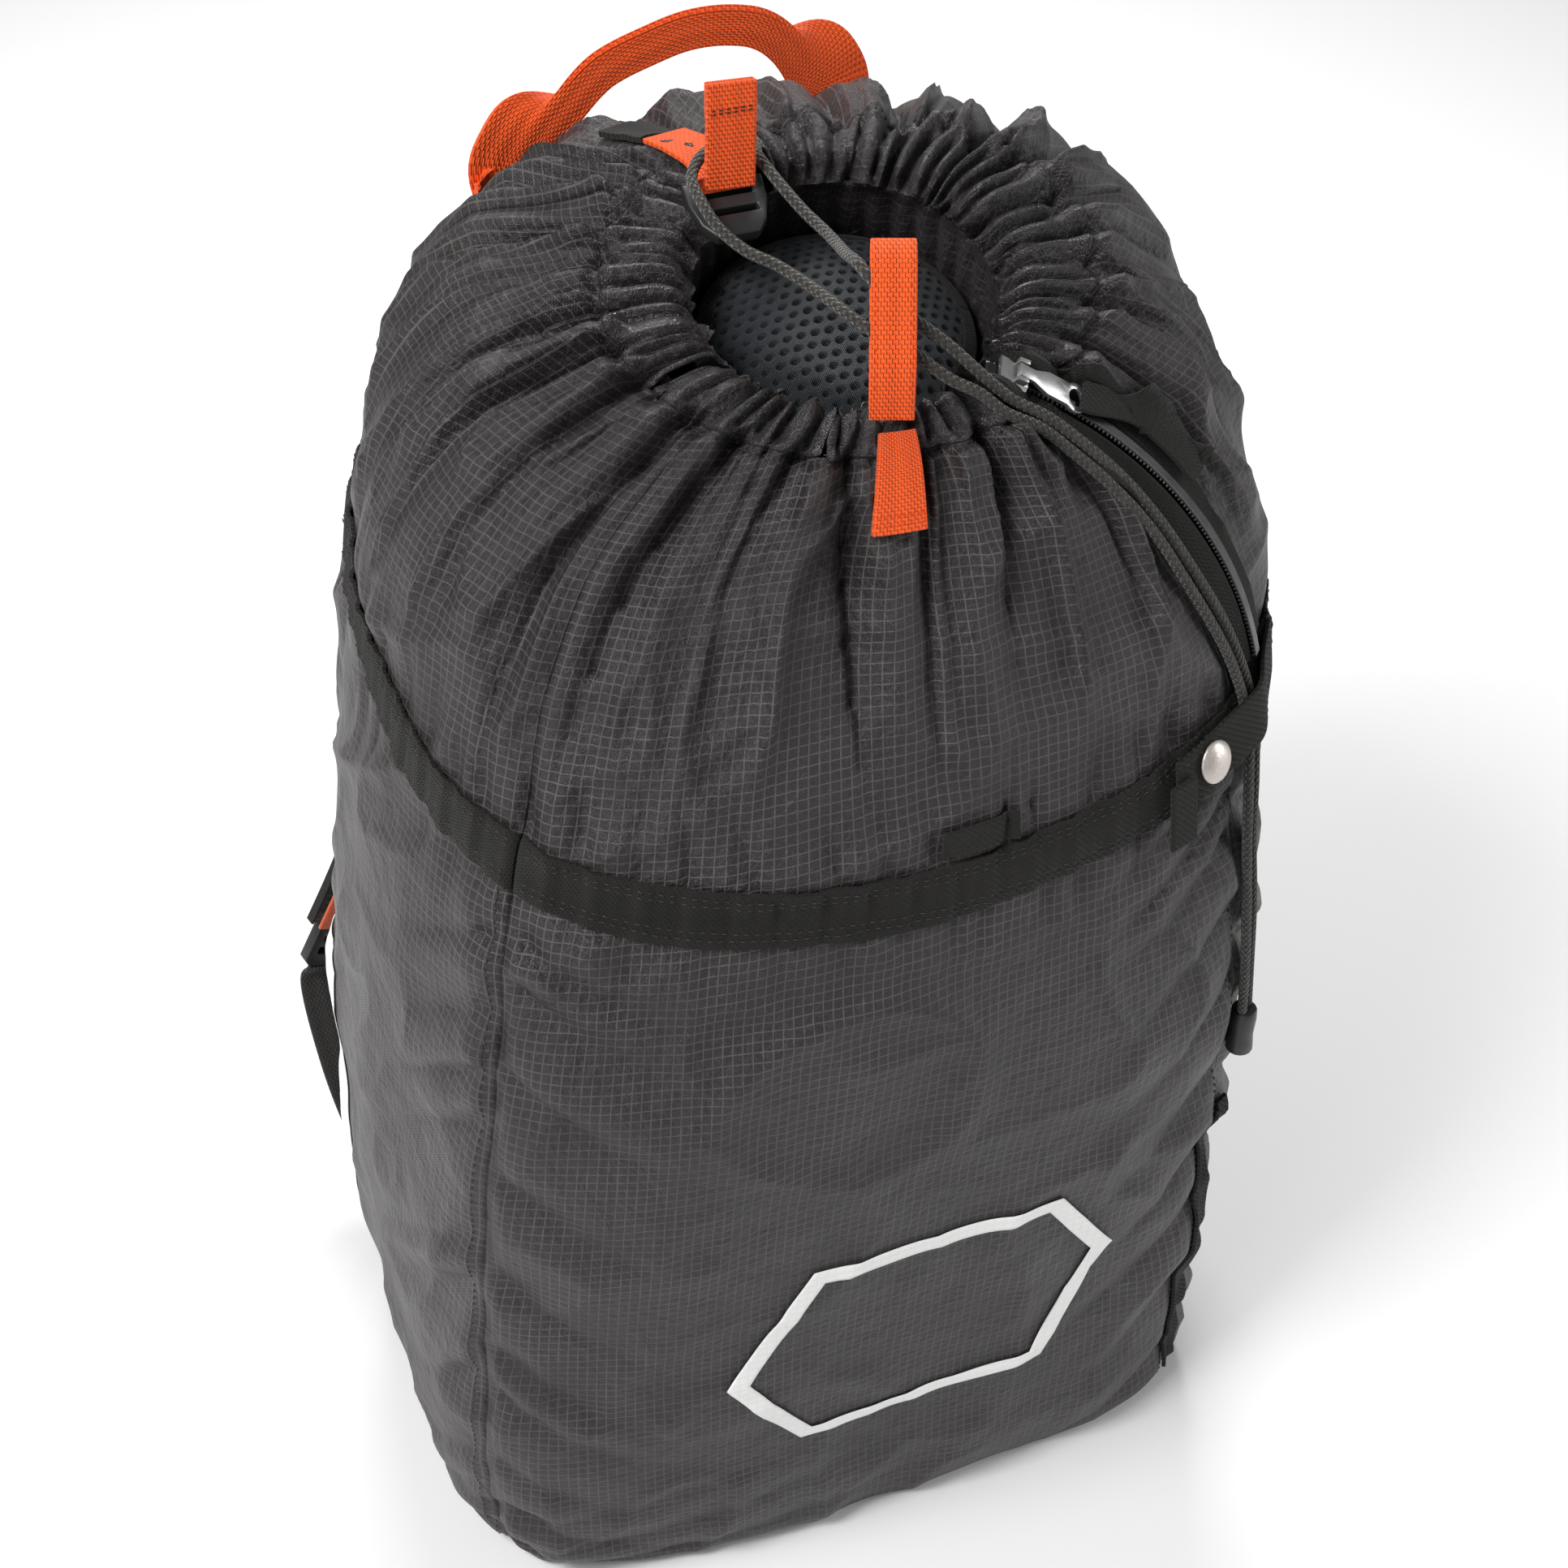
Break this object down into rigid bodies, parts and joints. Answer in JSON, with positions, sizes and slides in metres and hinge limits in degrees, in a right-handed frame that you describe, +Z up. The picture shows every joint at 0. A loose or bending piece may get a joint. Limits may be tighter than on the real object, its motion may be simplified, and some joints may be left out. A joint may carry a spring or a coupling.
{
  "type": "stuff sack",
  "caption": "Upright drawstring stuff sack in charcoal ripstop, with gathered mouth, side zip under a snap flap, orange haul handle and shoulder straps.",
  "frame": {"origin": "a point on the flat underside, near the middle of the base", "axes": "+Z up from the base to the mouth, -Y to the front panel with the mark, +X to the side with the zip"},
  "size_m": [0.3191, 0.2986, 0.5234],
  "materials": {
    "ripstop": "charcoal ripstop nylon with a fine raised grid",
    "tunnel_ripstop": "thin coated ripstop, gathered, with a sheen",
    "foam": "closed-cell foam sheet",
    "twill_tape": "black-olive twill tape",
    "orange_webbing": "bright orange woven webbing",
    "spacer_mesh": "blue-black spacer mesh",
    "cord_braid": "olive-grey braided cord",
    "black_plastic": "moulded black plastic",
    "zip_metal": "satin silver metal",
    "snap_metal": "pearly enamelled snap",
    "white_print": "white screen print"
  },
  "bodies": {
    "shell": {"base_panel": "ripstop", "front_panel": "ripstop", "left_panel": "ripstop", "right_panel": "ripstop", "back_panel": "ripstop", "collar_front": "ripstop", "collar_left": "ripstop", "collar_right": "ripstop", "collar_back": "ripstop", "back_foam": "foam", "hem_band_front": "twill_tape", "hem_band_left": "twill_tape", "hem_band_right": "twill_tape", "hem_band_back": "twill_tape", "front_tape_tab": "twill_tape", "tunnel_left": "tunnel_ripstop", "tunnel_front_left": "tunnel_ripstop", "tunnel_front": "tunnel_ripstop", "tunnel_right": "tunnel_ripstop", "tunnel_back_right": "tunnel_ripstop", "tunnel_lining": "tunnel_ripstop", "drawcord_left_in_tunnel": "cord_braid", "drawcord_right_in_tunnel": "cord_braid", "drawcord_strand_left": "cord_braid", "drawcord_strand_right": "cord_braid", "cord_end": "black_plastic", "zip_chain": "black_plastic", "zip_tape_front": "twill_tape", "zip_tape_side": "twill_tape", "side_welt": "twill_tape", "front_loop_foot": "orange_webbing", "haul_handle_end_left": "orange_webbing", "haul_handle_end_right": "orange_webbing", "top_strap_anchor": "twill_tape", "strap_anchor_left": "twill_tape", "strap_wedge_left": "twill_tape", "strap_anchor_right": "twill_tape", "strap_wedge_right": "twill_tape", "side_print": "white_print", "front_mark": "white_print"},
    "slider": {"zip_slider": "zip_metal"},
    "puller": {"zip_puller": "zip_metal"},
    "pull_tab": {"zip_pull_tab": "twill_tape"},
    "flap": {"snap_flap": "twill_tape", "snap_cap": "snap_metal", "flap_pull_tab": "twill_tape"},
    "handle": {"haul_handle": "orange_webbing"},
    "closing_strap": {"top_strap": "orange_webbing", "hook_buckle": "black_plastic"},
    "tail": {"strap_tail": "orange_webbing"},
    "loop": {"front_loop": "orange_webbing"},
    "mesh_lid": {"mesh_flap": "spacer_mesh"},
    "left_strap": {"shoulder_pad_left": "ripstop", "pad_lining_left": "orange_webbing", "ladder_lock_left": "black_plastic", "lower_webbing_left": "twill_tape"},
    "right_strap": {"shoulder_pad_right": "ripstop", "pad_lining_right": "orange_webbing", "ladder_lock_right": "black_plastic", "lower_webbing_right": "twill_tape"}
  },
  "joints": [
    {"name": "zip_travel", "type": "hinge", "parent": "shell", "child": "slider", "pos_m": [-0.03122, -0.04994, 0.30993], "axis": [0.1944, 0.9799, -0.045], "range_deg": [-0.8, 20]},
    {"name": "puller_flip", "type": "hinge", "parent": "slider", "child": "puller", "pos_m": [0.0468, -0.06188, 0.45953], "axis": [-0.4164, -0.7936, -0.4436], "range_deg": [0, 90]},
    {"name": "pull_tab_fold", "type": "hinge", "parent": "puller", "child": "pull_tab", "pos_m": [0.06756, -0.06484, 0.44652], "axis": [-0.4164, -0.7936, -0.4436], "range_deg": [0, 90]},
    {"name": "snap_flap_open", "type": "hinge", "parent": "shell", "child": "flap", "pos_m": [0.13832, -0.06721, 0.34225], "axis": [-0.0626, 0.2314, 0.9708], "range_deg": [0, 100]},
    {"name": "haul_handle_swing", "type": "hinge", "parent": "shell", "child": "handle", "pos_m": [-0.05716, 0.09554, 0.45483], "axis": [0.9955, 0.0135, 0.0937], "range_deg": [-60, 12]},
    {"name": "closing_strap_lift", "type": "hinge", "parent": "shell", "child": "closing_strap", "pos_m": [-0.01724, 0.02533, 0.49453], "axis": [-1, 0, 0], "range_deg": [-1, 6]},
    {"name": "strap_tail_bend", "type": "hinge", "parent": "closing_strap", "child": "tail", "pos_m": [-0.015, 0.00797, 0.49193], "axis": [1, 0, 0], "range_deg": [-18, 25]},
    {"name": "front_loop_tilt", "type": "hinge", "parent": "shell", "child": "loop", "pos_m": [0.00515, -0.06752, 0.45579], "axis": [0.9397, -0.342, 0], "range_deg": [-3, 0.8]},
    {"name": "mesh_flap_drop", "type": "hinge", "parent": "shell", "child": "mesh_lid", "pos_m": [0.01, 0.01996, 0.46118], "axis": [1, 0, 0], "range_deg": [0, 75]},
    {"name": "left_strap_swing", "type": "hinge", "parent": "shell", "child": "left_strap", "pos_m": [-0.04859, 0.1125, 0.43633], "axis": [0.2418, 0.0455, 0.9693], "range_deg": [-6, 6]},
    {"name": "right_strap_swing", "type": "hinge", "parent": "shell", "child": "right_strap", "pos_m": [0.0661, 0.11254, 0.4362], "axis": [-0.1588, 0.0464, 0.9862], "range_deg": [-6, 6]}
  ]
}
